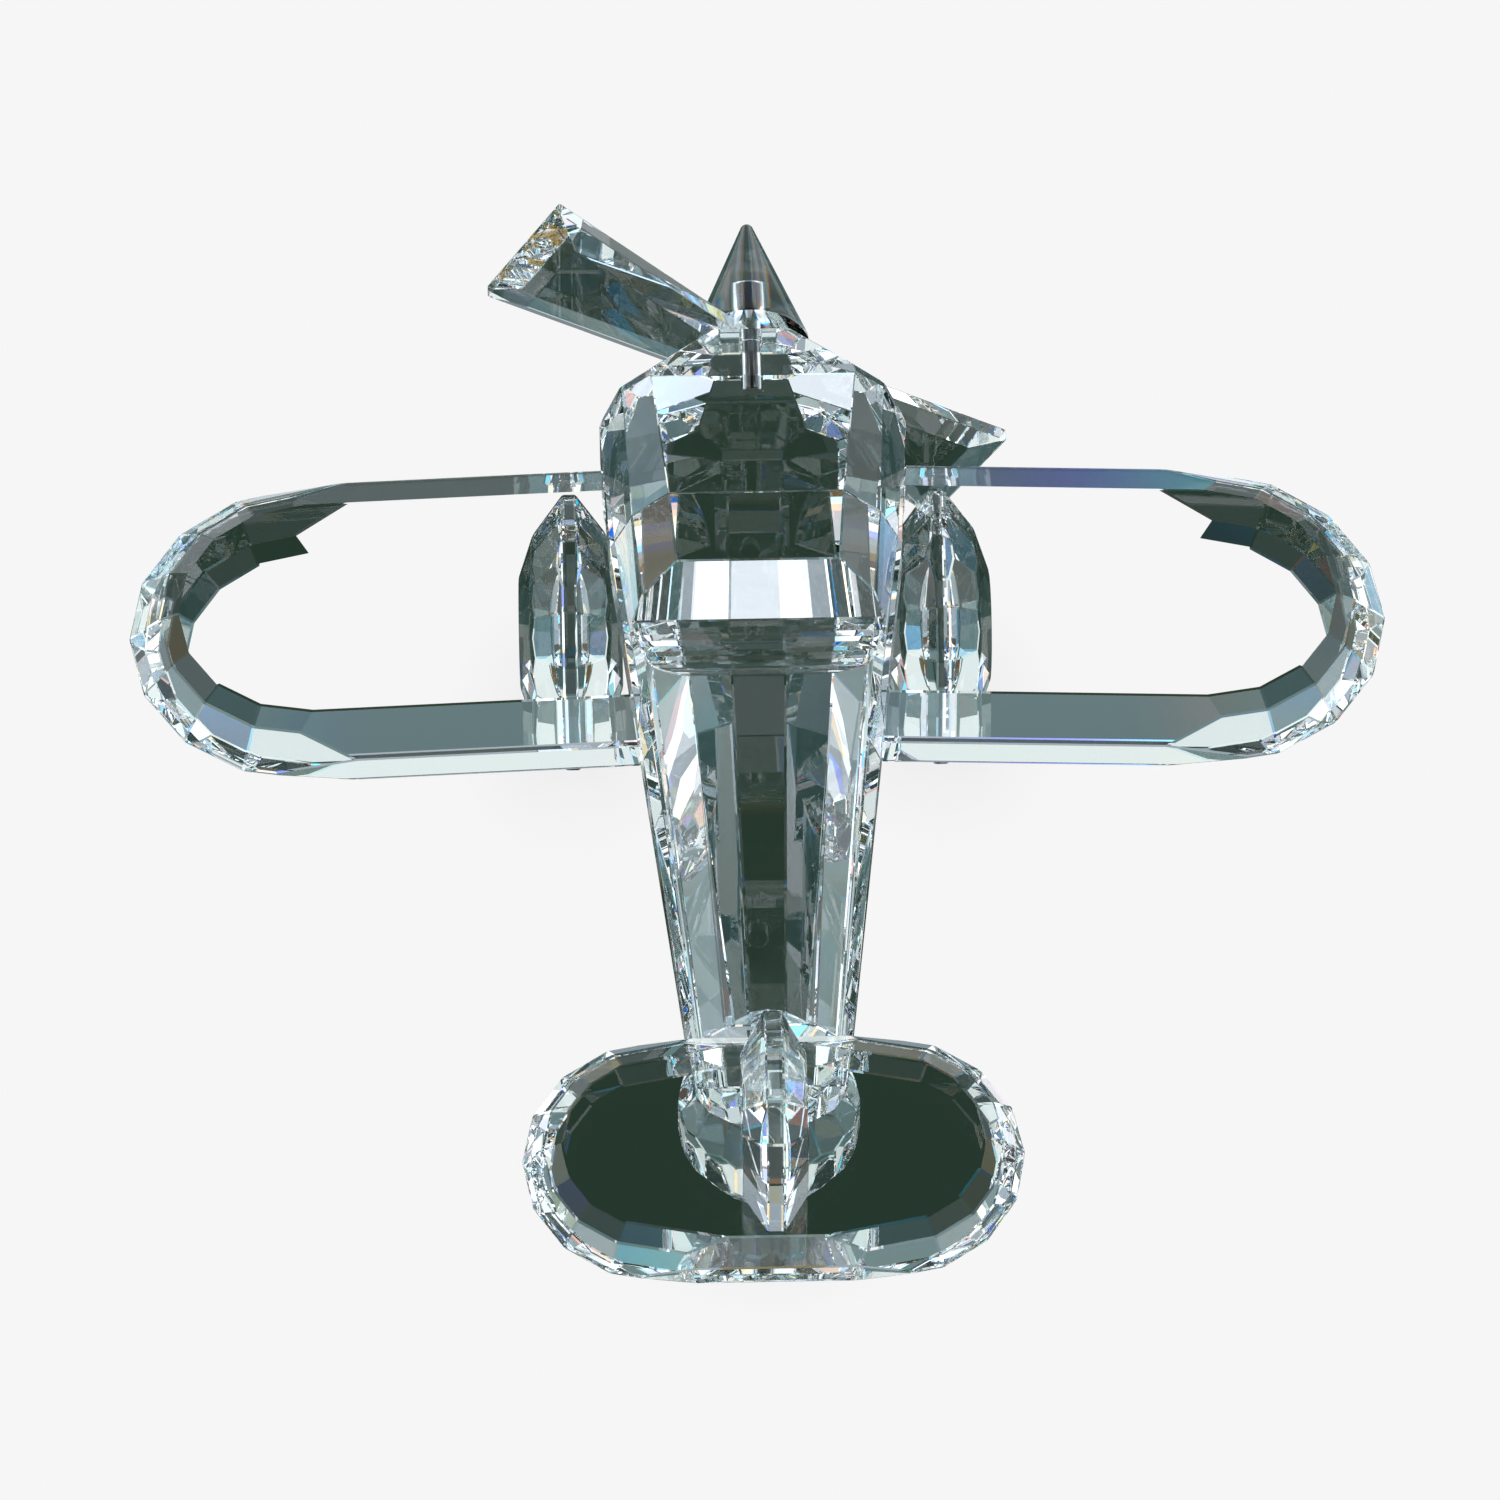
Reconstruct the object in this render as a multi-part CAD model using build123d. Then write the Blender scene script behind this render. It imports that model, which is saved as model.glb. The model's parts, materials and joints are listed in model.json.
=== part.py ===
from build123d import *
import math
import os

# Cut-crystal propeller aeroplane ornament. Every stone is a solid bounded by polished facets.
# Millimetres. X is the wing span, Y points to the nose and Z is up.
# The stones are worked out on the body's own axis, then the whole is set down on its wheels and tail ball.

# ---- facet index: the body, wheels and rounded ends are all cut on a sixteen-step wheel
FACETS = 16
STEP = 360 / FACETS
BLANK = 200.0                     # size of the rough block that the planes are cut from

# ---- fuselage: sixteen-sided tapered bar with a broad flat top
FUSELAGE_LENGTH = 39.45
JOINT_RADIUS = 9.7                # axis to facet where the fuselage meets the engine block
TAIL_RADIUS = 5.13                # axis to facet at the tail end
JOINT_TOP = 7.95                  # axis to the broad top facet at the joint
TAIL_TOP = 4.6                    # axis to the broad top facet at the tail end
LEDGE_LENGTH = 3.0                # lower part that runs on under the tailplane

# ---- cockpit notch
COCKPIT_SETBACK = 5.2             # joint to the notch's front edge
COCKPIT_LENGTH = 8.6
COCKPIT_DEPTH = 4.4
WINDSCREEN_LEAN = 1.7             # how far the front wall's foot lies behind its top
COCKPIT_SCOOP = 0.9               # sag of the curved floor below its straight chord

# ---- engine block
ENGINE_LENGTH = 15.05
ENGINE_RADIUS = 10.35             # axis to facet behind the front bevel
ENGINE_TOP = 7.75                 # axis to the broad top facet behind the front bevel
ENGINE_BEVEL = 4.3                # length of the long front bevel
ENGINE_FACE_RADIUS = 6.0          # axis to facet at the front face
RIM_BEVEL = 0.9                   # narrow second bevel between the long bevel and the sides
RIM_SIDE_DROP = 0.3               # how much the narrow bevel takes off the side facets
RIM_TOP_DROP = 0.225              # and off the broad top facet

# ---- propeller, pin and spinner
BLADE_REACH = 19.85               # axis to the middle of a blade's end
BLADE_HUB_WIDTH = 4.4
BLADE_TIP_WIDTH = 9.9
BLADE_THICKNESS = 2.5
BLADE_EDGE = 0.9                  # height of the upright edge left between the bevels
BLADE_SIDE_BEVEL = 1.25
BLADE_END_BEVEL = 2.4
BLADE_RAKE = 10.4                 # slant of the blade ends, degrees
PROPELLER_REST = 40.0             # resting turn about the pin, degrees
PIN_RADIUS = 0.75
PIN_IN_ENGINE = 3.5
PIN_IN_SPINNER = 4.0
BUSH_WALL = 0.4
WASHER_RIM = 1.1                  # width of the washer's ring
WASHER_THICKNESS = 0.25
RUNNING_GAP = 0.05                # radial, between the pin and what turns or sits round it
END_FLOAT = 0.06                  # axial, each side of the propeller
GLUE_GAP = 0.01                   # radial, round a glued pin or bush
SPINNER_RADIUS = 4.0
SPINNER_LENGTH = 10.4
SPINNER_TIP = 0.45                # radius of the blunted point
SPINNER_LAND = 0.35               # short upright band at the spinner's base

# ---- wings: thick slabs bevelled on both faces, with a sixteen-step rounded tip cut in two rings
TIP_EDGE = 0.3                    # height of the upright edge left round every rounded tip
WING_SPAN = 83.2
WING_CHORD = 22.6
WING_THICKNESS = 5.6
WING_EDGE = 2.3                   # height of the upright edge
WING_BEVEL = 2.95
WING_TIP_RADIUS = 11.55
WING_TIP_CHAMFER = 2.06           # width of the steep outer ring
WING_TIP_SHOULDER = 4.26          # thickness where the two rings meet
WING_TIP_BEVEL = 1.35             # width of the inner ring
WING_SWEEP = 2.2
WING_AHEAD = 7.4                  # how far the leading edge's root lies ahead of the joint

# ---- wheels
WHEEL_RADIUS = 9.3
WHEEL_OUTSET = 2.15               # wheel centre beyond the body's widest facet
WHEEL_AHEAD = 2.9                 # wheel centre ahead of the joint
WHEEL_WIDTH = 7.0
WHEEL_EDGE = 0.9
WHEEL_SHOULDER_RADIUS = 6.7
WHEEL_SHOULDER_WIDTH = 4.9
WHEEL_TABLE_RADIUS = 3.7
WHEEL_SEAT = 0.35                 # depth of the flat ground on top to seat it under the wing

# ---- tailplane, fin and tail ball
TAILPLANE_SPAN = 31.6
TAILPLANE_CHORD = 17.0
TAILPLANE_THICKNESS = 4.4
TAILPLANE_EDGE = 1.75
TAILPLANE_BEVEL = 1.5
TAILPLANE_TIP_RADIUS = 8.6
TAILPLANE_TIP_CHAMFER = 1.3
TAILPLANE_TIP_SHOULDER = 3.1
TAILPLANE_TIP_BEVEL = 1.2
FIN_LENGTH = 13.4
FIN_HEIGHT = 9.3
FIN_THICKNESS = 4.1
FIN_EDGE = 1.1
FIN_BEVEL = 2.6
FIN_TIP_RADIUS = 6.75
BALL_RADIUS = 5.8
BALL_AHEAD = 1.9                  # ball centre ahead of the fuselage's tail face
BALL_SEAT = 0.3                   # depth of the flat ground to seat it under the fuselage

# ---- what fits to the pin and to the body
PIN_HOLE_RADIUS = PIN_RADIUS + RUNNING_GAP
GLUED_HOLE_RADIUS = PIN_RADIUS + GLUE_GAP
BUSH_RADIUS = PIN_HOLE_RADIUS + BUSH_WALL
WASHER_RADIUS = PIN_HOLE_RADIUS + WASHER_RIM
WHEEL_TRACK = 2 * (max(JOINT_RADIUS, ENGINE_RADIUS) + WHEEL_OUTSET)

# ---- stations along the body axis, with zero at the joint of engine block and fuselage
ENGINE_FRONT = ENGINE_LENGTH
PROPELLER_BACK = ENGINE_FRONT + WASHER_THICKNESS + END_FLOAT
PROPELLER_FRONT = PROPELLER_BACK + BLADE_THICKNESS
SPINNER_BASE = PROPELLER_FRONT + END_FLOAT + WASHER_THICKNESS
TAIL_FACE = -FUSELAGE_LENGTH
WING_MIDDLE = WING_AHEAD - WING_CHORD / 2
TAILPLANE_MIDDLE = TAIL_FACE - TAILPLANE_CHORD / 2
TAILPLANE_LEVEL = TAIL_TOP - TAILPLANE_THICKNESS / 2
TAPER = (JOINT_RADIUS - TAIL_RADIUS) / FUSELAGE_LENGTH

# ---- how the body stands: the floor touches both wheels and the tail ball
WHEEL_LEVEL = -WING_THICKNESS / 2 - WHEEL_RADIUS + WHEEL_SEAT
BALL_MIDDLE = TAIL_FACE + BALL_AHEAD
BALL_SLOPE = math.atan(TAPER)     # tilt of the fuselage's underside
BELLY_AT_BALL = -(TAIL_RADIUS + TAPER * BALL_AHEAD)
BALL_LEVEL = BELLY_AT_BALL - (BALL_RADIUS - BALL_SEAT) / math.cos(BALL_SLOPE)
WHEELBASE = math.hypot(WHEEL_AHEAD - BALL_MIDDLE, WHEEL_LEVEL - BALL_LEVEL)
RISE = math.atan2(WHEEL_LEVEL - BALL_LEVEL, WHEEL_AHEAD - BALL_MIDDLE)
STANCE = math.asin((WHEEL_RADIUS - BALL_RADIUS) / WHEELBASE) - RISE
STANCE_DEGREES = math.degrees(STANCE)


def toward(angle, lift=0.0):
    """Direction at an angle in the X-Y plane, lifted towards +Z, both in degrees."""
    flat = math.cos(math.radians(lift))
    return Vector(
        flat * math.cos(math.radians(angle)),
        flat * math.sin(math.radians(angle)),
        math.sin(math.radians(lift)),
    )


def cut_stone(planes):
    """Cut a rough block back to each plane in turn, keeping the side behind the plane."""
    stone = Box(BLANK, BLANK, BLANK)
    for plane in planes:
        stone = split(stone, bisect_by=plane, keep=Keep.BOTTOM)
    return stone


def across_body(angle):
    """Direction square to the body axis, in the X-Z plane."""
    return Vector(math.cos(math.radians(angle)), 0, math.sin(math.radians(angle)))


def body_facet(angle, start, start_radius, end, end_radius):
    """Facet along the body that is start_radius from the axis at one station and end_radius at the other."""
    out = across_body(angle)
    slope = (end_radius - start_radius) / (end - start)
    return Plane(origin=out * start_radius + Vector(0, start, 0), z_dir=out - Vector(0, slope, 0))


def body_facets(start, start_radius, start_top, end, end_radius, end_top):
    """One facet for each step round the body, with the broad top facet at its own height."""
    planes = [body_facet(90, start, start_top, end, end_top)]
    for index in range(FACETS):
        planes.append(body_facet(index * STEP, start, start_radius, end, end_radius))
    return planes


def end_plane(station, direction):
    """Plane square to the body axis that faces the nose (1) or the tail (-1)."""
    return Plane(origin=(0, station, 0), z_dir=(0, direction, 0))


def bevelled_edge(angle, point, profile):
    """Upright edge with bevels above and below it, for a slab that lies in the X-Y plane.

    The profile gives each corner's inset from the edge and its height above the slab's middle.
    """
    out = toward(angle)
    foot = Vector(*point)
    planes = [Plane(origin=foot, z_dir=out)]
    for (inset, height), (next_inset, next_height) in zip(profile, profile[1:]):
        steepness = math.degrees(math.atan2(next_inset - inset, next_height - height))
        for side in (-1, 1):
            corner = foot - out * inset + Vector(0, 0, side * height)
            planes.append(Plane(origin=corner, z_dir=toward(angle, side * steepness)))
    return planes


def one_bevel(edge, thickness, bevel):
    """Profile of an upright edge with a single bevel."""
    return [(0, edge / 2), (bevel, thickness / 2)]


def two_bevels(edge, shoulder, thickness, chamfer, bevel):
    """Profile of a low upright edge, a steep chamfer up to the shoulder and a broad bevel."""
    return [(0, edge / 2), (chamfer, shoulder / 2), (chamfer + bevel, thickness / 2)]


def slab_faces(thickness):
    """The two broad faces of a slab that lies in the X-Y plane."""
    return [Plane(origin=(0, 0, side * thickness / 2), z_dir=(0, 0, side)) for side in (-1, 1)]


def rounded_end(centre, radius, facing, profile):
    """Bevelled edges that step round a half circle, with a corner on its middle line."""
    planes = []
    for index in range(FACETS // 2):
        angle = facing + (index + 0.5) * STEP - 90
        point = centre + toward(angle) * radius
        planes += bevelled_edge(angle, point, profile)
    return planes


def make_engine_block():
    """Front stone of the body, with a long bevel, a narrow rim bevel and a blind bore for the pin."""
    shoulder = ENGINE_FRONT - ENGINE_BEVEL
    rim = shoulder - RIM_BEVEL
    planes = [end_plane(ENGINE_FRONT, 1), end_plane(0, -1)]
    planes += body_facets(0, JOINT_RADIUS, JOINT_TOP, shoulder, ENGINE_RADIUS, ENGINE_TOP)
    side_radius = ENGINE_RADIUS - RIM_SIDE_DROP
    top_radius = ENGINE_TOP - RIM_TOP_DROP
    for index in range(FACETS // 2):
        angle = index * 2 * STEP
        radius = top_radius if angle == 90 else side_radius
        planes.append(body_facet(angle, shoulder, radius, ENGINE_FRONT, ENGINE_FACE_RADIUS))
    for index in range(FACETS):
        angle = index * STEP
        if angle == 90:
            planes.append(body_facet(angle, rim, ENGINE_TOP, shoulder, top_radius))
        else:
            planes.append(body_facet(angle, rim, ENGINE_RADIUS, shoulder, side_radius))
    bore = cylinder_along_body(GLUED_HOLE_RADIUS, ENGINE_FRONT - PIN_IN_ENGINE, ENGINE_FRONT)
    return cut_stone(planes) - bore


def cylinder_along_body(radius, start, end):
    """Round bar on the body axis between two stations."""
    bar = Cylinder(radius, end - start, rotation=(90, 0, 0))
    return Pos(0, (start + end) / 2, 0) * bar


def top_height(station):
    """Height of the broad top facet above the axis at a station on the fuselage."""
    return JOINT_TOP + (TAIL_TOP - JOINT_TOP) * station / TAIL_FACE


def cockpit_cutter():
    """Prism that leaves a steep windscreen wall and a scooped floor behind it."""
    front = -COCKPIT_SETBACK
    rear = front - COCKPIT_LENGTH
    above = JOINT_TOP * 2
    foot = (front - WINDSCREEN_LEAN, top_height(front) - COCKPIT_DEPTH)
    lip = (rear, top_height(rear))
    middle = ((foot[0] + lip[0]) / 2, (foot[1] + lip[1]) / 2 - COCKPIT_SCOOP)
    outline = [
        Line((front, top_height(front)), foot),
        ThreePointArc(foot, middle, lip),
        Line(lip, (rear, above)),
        Line((rear, above), (front, above)),
        Line((front, above), (front, top_height(front))),
    ]
    profile = Plane.YZ * make_face(Curve() + outline)
    return extrude(profile, amount=2 * JOINT_RADIUS, both=True)


def tail_step():
    """Block removed above the ledge, where the tailplane sits."""
    bottom = TAILPLANE_LEVEL - TAILPLANE_THICKNESS / 2
    corner = Pos(0, TAIL_FACE - LEDGE_LENGTH, bottom + TAIL_RADIUS)
    return corner * Box(4 * TAIL_RADIUS, 2 * LEDGE_LENGTH, 2 * TAIL_RADIUS)


def make_fuselage():
    """Tapered bar with the cockpit notch in its top and a ledge for the tailplane."""
    planes = [end_plane(0, 1), end_plane(TAIL_FACE - LEDGE_LENGTH, -1)]
    planes += body_facets(TAIL_FACE, TAIL_RADIUS, TAIL_TOP, 0, JOINT_RADIUS, JOINT_TOP)
    return cut_stone(planes) - cockpit_cutter() - tail_step()


def make_wing(body):
    """Right wing: a swept bevelled slab, hollowed at its root to seat on the body's side facets."""
    half_chord = WING_CHORD / 2
    straight = one_bevel(WING_EDGE, WING_THICKNESS, WING_BEVEL)
    tip = two_bevels(TIP_EDGE, WING_TIP_SHOULDER, WING_THICKNESS, WING_TIP_CHAMFER, WING_TIP_BEVEL)
    planes = slab_faces(WING_THICKNESS)
    for angle in (-90, 90):
        planes += bevelled_edge(angle, toward(angle) * half_chord, straight)
    tip_centre = Vector(WING_SPAN / 2 - WING_TIP_RADIUS / math.cos(math.radians(STEP / 2)), 0, 0)
    planes += rounded_end(tip_centre, WING_TIP_RADIUS, 0, tip)
    planes.append(Plane(origin=(0, 0, 0), z_dir=(-1, 0, 0)))
    slab = Pos(0, WING_MIDDLE, 0) * Rot(0, 0, -WING_SWEEP) * cut_stone(planes)
    outside = split(slab, bisect_by=Plane(origin=(JOINT_RADIUS / 2, 0, 0), z_dir=(1, 0, 0)), keep=Keep.TOP)
    for stone in body:
        outside = outside - stone
    return outside


def wheel_facets(side):
    """Facets on one side of a wheel: a table, a shoulder ring and an outer ring."""
    planes = [Plane(origin=(side * WHEEL_WIDTH / 2, 0, 0), z_dir=(side, 0, 0))]
    outer = math.atan2(WHEEL_RADIUS - WHEEL_SHOULDER_RADIUS, (WHEEL_SHOULDER_WIDTH - WHEEL_EDGE) / 2)
    inner = math.atan2(WHEEL_SHOULDER_RADIUS - WHEEL_TABLE_RADIUS, (WHEEL_WIDTH - WHEEL_SHOULDER_WIDTH) / 2)
    rings = [
        (outer, WHEEL_EDGE / 2, WHEEL_RADIUS, 0.0),
        (inner, WHEEL_SHOULDER_WIDTH / 2, WHEEL_SHOULDER_RADIUS, 0.5),
    ]
    for tilt, across, radius, shift in rings:
        for index in range(FACETS):
            angle = math.radians((index + shift) * STEP)
            spoke = Vector(0, math.cos(angle), math.sin(angle))
            normal = spoke * math.cos(tilt) + Vector(side * math.sin(tilt), 0, 0)
            planes.append(Plane(origin=spoke * radius + Vector(side * across, 0, 0), z_dir=normal))
    return planes


def make_wheel():
    """Right wheel: a round stone faceted on both sides, with a flat ground to seat under the wing."""
    planes = wheel_facets(-1) + wheel_facets(1)
    for index in range(FACETS):
        angle = math.radians(index * STEP)
        spoke = Vector(0, math.cos(angle), math.sin(angle))
        planes.append(Plane(origin=spoke * WHEEL_RADIUS, z_dir=spoke))
    stone = Rot(-STANCE_DEGREES, 0, 0) * cut_stone(planes)
    stone = Pos(WHEEL_TRACK / 2, WHEEL_AHEAD, WHEEL_LEVEL) * stone
    seat = Plane(origin=(0, 0, -WING_THICKNESS / 2), z_dir=(0, 0, 1))
    return split(stone, bisect_by=seat, keep=Keep.BOTTOM)


def make_tailplane():
    """Rounded slab, bevelled all round, that sits on the fuselage's ledge."""
    straight = one_bevel(TAILPLANE_EDGE, TAILPLANE_THICKNESS, TAILPLANE_BEVEL)
    tip = two_bevels(
        TIP_EDGE, TAILPLANE_TIP_SHOULDER, TAILPLANE_THICKNESS, TAILPLANE_TIP_CHAMFER, TAILPLANE_TIP_BEVEL
    )
    planes = slab_faces(TAILPLANE_THICKNESS)
    for angle in (-90, 90):
        planes += bevelled_edge(angle, toward(angle) * (TAILPLANE_CHORD / 2), straight)
    reach = TAILPLANE_SPAN / 2 - TAILPLANE_TIP_RADIUS / math.cos(math.radians(STEP / 2))
    for facing in (0, 180):
        planes += rounded_end(toward(facing) * reach, TAILPLANE_TIP_RADIUS, facing, tip)
    return Pos(0, TAILPLANE_MIDDLE, TAILPLANE_LEVEL) * cut_stone(planes)


def make_fin():
    """Upright slab with a rounded top, ground flat underneath to stand on the tailplane."""
    profile = one_bevel(FIN_EDGE, FIN_THICKNESS, FIN_BEVEL)
    planes = slab_faces(FIN_THICKNESS)
    for angle in (0, 180):
        planes += bevelled_edge(angle, toward(angle) * (FIN_LENGTH / 2), profile)
    centre = Vector(0, FIN_HEIGHT - FIN_TIP_RADIUS / math.cos(math.radians(STEP / 2)), 0)
    planes += rounded_end(centre, FIN_TIP_RADIUS, 90, profile)
    planes.append(Plane(origin=(0, 0, 0), z_dir=(0, -1, 0)))
    upright = Rot(0, 0, 90) * Rot(90, 0, 0) * cut_stone(planes)
    return Pos(0, TAILPLANE_MIDDLE, TAILPLANE_LEVEL + TAILPLANE_THICKNESS / 2) * upright


def make_tail_ball():
    """Faceted ball under the tail, with a small flat to stand on and another to seat on the fuselage."""
    rows = [(-90, 1), (-60, FACETS // 2), (-30, FACETS), (0, FACETS), (30, FACETS), (60, FACETS // 2)]
    planes = []
    for lift, count in rows:
        for index in range(count):
            shift = 0.5 if lift % 60 == 0 else 0.0
            normal = toward((index + shift) * 360 / count, lift)
            planes.append(Plane(origin=normal * BALL_RADIUS, z_dir=normal))
    stone = Rot(-STANCE_DEGREES, 0, 0) * cut_stone(planes)
    stone = Pos(0, BALL_MIDDLE, BALL_LEVEL) * stone
    return split(stone, bisect_by=belly_plane(), keep=Keep.TOP)


def belly_plane():
    """Plane of the fuselage's lowest facet, facing down."""
    return body_facet(-90, TAIL_FACE, TAIL_RADIUS, 0, JOINT_RADIUS)


def make_blade():
    """Half of the propeller, from the pin's axis out to one slanted end."""
    widening = math.degrees(math.atan((BLADE_TIP_WIDTH - BLADE_HUB_WIDTH) / 2 / BLADE_REACH))
    planes = slab_faces(BLADE_THICKNESS)
    for side in (-1, 1):
        point = Vector(0, side * BLADE_HUB_WIDTH / 2, 0)
        angle = side * (90 + widening)
        planes += bevelled_edge(angle, point, one_bevel(BLADE_EDGE, BLADE_THICKNESS, BLADE_SIDE_BEVEL))
    end = one_bevel(BLADE_EDGE, BLADE_THICKNESS, BLADE_END_BEVEL)
    planes += bevelled_edge(BLADE_RAKE, Vector(BLADE_REACH, 0, 0), end)
    planes.append(Plane(origin=(0, 0, 0), z_dir=(-1, 0, 0)))
    return cut_stone(planes)


def make_propeller():
    """Two blades in one clear bar with a bore through its middle."""
    blade = make_blade()
    flat = blade + Rot(0, 0, 180) * blade
    upright = Rot(0, PROPELLER_REST, 0) * Rot(90, 0, 0) * flat
    bar = Pos(0, (PROPELLER_BACK + PROPELLER_FRONT) / 2, 0) * upright
    return bar - cylinder_along_body(BUSH_RADIUS + GLUE_GAP, PROPELLER_BACK - 1, PROPELLER_FRONT + 1)


def ring_along_body(radius, start, end):
    """Round ring on the body axis between two stations, with a running fit on the pin."""
    return cylinder_along_body(radius, start, end) - cylinder_along_body(PIN_HOLE_RADIUS, start - 1, end + 1)


def make_nose_cone():
    """Smooth ground spinner with a blunted point and a blind bore for the pin."""
    slope = math.atan2(SPINNER_RADIUS, SPINNER_LENGTH)
    blunt_centre = SPINNER_LENGTH - SPINNER_TIP
    touch = (SPINNER_TIP * math.cos(slope), blunt_centre + SPINNER_TIP * math.sin(slope))
    outline = [
        Line((0, 0), (SPINNER_RADIUS, 0)),
        Line((SPINNER_RADIUS, 0), (SPINNER_RADIUS, SPINNER_LAND)),
        Line((SPINNER_RADIUS, SPINNER_LAND), touch),
        RadiusArc(touch, (0, SPINNER_LENGTH), -SPINNER_TIP),
        Line((0, SPINNER_LENGTH), (0, 0)),
    ]
    profile = make_face(Curve() + outline)
    upright = revolve(profile, axis=Axis.Y, revolution_arc=360)
    cone = Pos(0, SPINNER_BASE, 0) * upright
    return cone - cylinder_along_body(GLUED_HOLE_RADIUS, SPINNER_BASE - 1, SPINNER_BASE + PIN_IN_SPINNER)


def set_down(shape):
    """Tilt the finished ornament nose-up on to its wheels and ball, with the floor at Z = 0."""
    lowest = WHEEL_AHEAD * math.sin(STANCE) + WHEEL_LEVEL * math.cos(STANCE) - WHEEL_RADIUS
    tip_centre = SPINNER_BASE + SPINNER_LENGTH - SPINNER_TIP
    nose = tip_centre * math.cos(STANCE) + SPINNER_TIP
    tail_edge = TAILPLANE_LEVEL + TAILPLANE_EDGE / 2
    tail = (TAIL_FACE - TAILPLANE_CHORD) * math.cos(STANCE) - tail_edge * math.sin(STANCE)
    return Pos(0, -(nose + tail) / 2, -lowest) * Rot(STANCE_DEGREES, 0, 0) * shape


def make_parts():
    """Every piece by name, each in its place on the body's own axis."""
    engine_block = make_engine_block()
    fuselage = make_fuselage()
    wing = make_wing([engine_block, fuselage])
    wheel = make_wheel()
    pin_start = ENGINE_FRONT - PIN_IN_ENGINE
    return {
        "fuselage": fuselage,
        "engine_block": engine_block,
        "wing_right": wing,
        "wing_left": mirror(wing, about=Plane.YZ),
        "wheel_right": wheel,
        "wheel_left": mirror(wheel, about=Plane.YZ),
        "tailplane": make_tailplane(),
        "fin": make_fin(),
        "tail_ball": make_tail_ball(),
        "propeller": make_propeller(),
        "propeller_bush": ring_along_body(BUSH_RADIUS, PROPELLER_BACK, PROPELLER_FRONT),
        "propeller_pin": cylinder_along_body(PIN_RADIUS, pin_start, SPINNER_BASE + PIN_IN_SPINNER),
        "rear_washer": ring_along_body(WASHER_RADIUS, ENGINE_FRONT, ENGINE_FRONT + WASHER_THICKNESS),
        "front_washer": ring_along_body(WASHER_RADIUS, SPINNER_BASE - WASHER_THICKNESS, SPINNER_BASE),
        "nose_cone": make_nose_cone(),
    }


os.makedirs("parts", exist_ok=True)
for name, part in make_parts().items():
    export_step(set_down(part), f"parts/{name}.step")
print(f"stands {STANCE_DEGREES:.2f} degrees nose up")
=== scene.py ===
"""Looks of a cut-crystal propeller aeroplane ornament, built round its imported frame."""

from __future__ import annotations

import json
import logging
import math
from dataclasses import dataclass, field
from enum import Enum
from functools import reduce

import bpy
from mathutils import Matrix, Vector


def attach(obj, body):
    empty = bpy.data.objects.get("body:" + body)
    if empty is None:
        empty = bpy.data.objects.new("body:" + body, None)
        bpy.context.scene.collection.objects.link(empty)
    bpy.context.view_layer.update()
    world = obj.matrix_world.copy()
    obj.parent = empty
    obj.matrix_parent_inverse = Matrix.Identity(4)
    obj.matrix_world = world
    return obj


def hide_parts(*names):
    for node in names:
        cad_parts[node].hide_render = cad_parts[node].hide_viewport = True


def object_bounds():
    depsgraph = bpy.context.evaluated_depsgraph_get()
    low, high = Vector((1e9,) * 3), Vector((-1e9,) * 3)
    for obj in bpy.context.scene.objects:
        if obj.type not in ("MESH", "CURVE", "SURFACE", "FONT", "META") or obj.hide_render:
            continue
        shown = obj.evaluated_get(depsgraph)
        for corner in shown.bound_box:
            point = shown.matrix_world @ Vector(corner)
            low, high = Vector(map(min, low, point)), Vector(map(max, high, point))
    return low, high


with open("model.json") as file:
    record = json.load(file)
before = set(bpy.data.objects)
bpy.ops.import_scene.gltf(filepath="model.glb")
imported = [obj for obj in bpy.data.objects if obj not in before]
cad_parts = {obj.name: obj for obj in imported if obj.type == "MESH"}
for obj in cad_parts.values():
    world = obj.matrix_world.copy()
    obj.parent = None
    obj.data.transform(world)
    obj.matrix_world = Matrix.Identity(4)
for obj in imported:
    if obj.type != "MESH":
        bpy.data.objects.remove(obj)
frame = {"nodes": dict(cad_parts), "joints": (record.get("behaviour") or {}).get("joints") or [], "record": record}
CAD_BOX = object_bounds()

log = logging.getLogger("crystal_aeroplane")

MM = 0.001  # metres in a millimetre
SLANT_BLEND = 0.5  # at this blend, Layer Weight's Facing is 1 less the cosine of the angle from head-on
WAVE_RADIANS = 20.0  # how far the Wave texture's phase runs in one unit at a scale of 1

SOLID_STONES = (
    "fuselage", "engine_block", "wheel_right", "wheel_left", "tailplane", "fin", "tail_ball", "propeller"
)
WINDOW_STONES = ("wing_right", "wing_left")

Colour = tuple[float, float, float]
Span = tuple[float, float]
Setting = float | int | str | bool | tuple[float, ...] | bpy.types.NodeSocket | bpy.types.Node


def linear(hex_code: str) -> Colour:
    """Turn an sRGB hex value into linear colour, by the sRGB standard's own curve.

    Args:
        hex_code: Six hex digits, such as "f6f6f6".

    Returns:
        The red, green and blue shares in linear light.
    """
    shares = [int(hex_code[i : i + 2], 16) / 255 for i in (0, 2, 4)]
    return tuple(s / 12.92 if s <= 0.04045 else ((s + 0.055) / 1.055) ** 2.4 for s in shares)


def scaled(hex_code: str, share: float) -> Colour:
    """Brighten or dim a colour in linear light.

    Args:
        hex_code: The colour's sRGB hex value.
        share: What its light is multiplied by.

    Returns:
        The linear colour.
    """
    return tuple(channel * share for channel in linear(hex_code))


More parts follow.
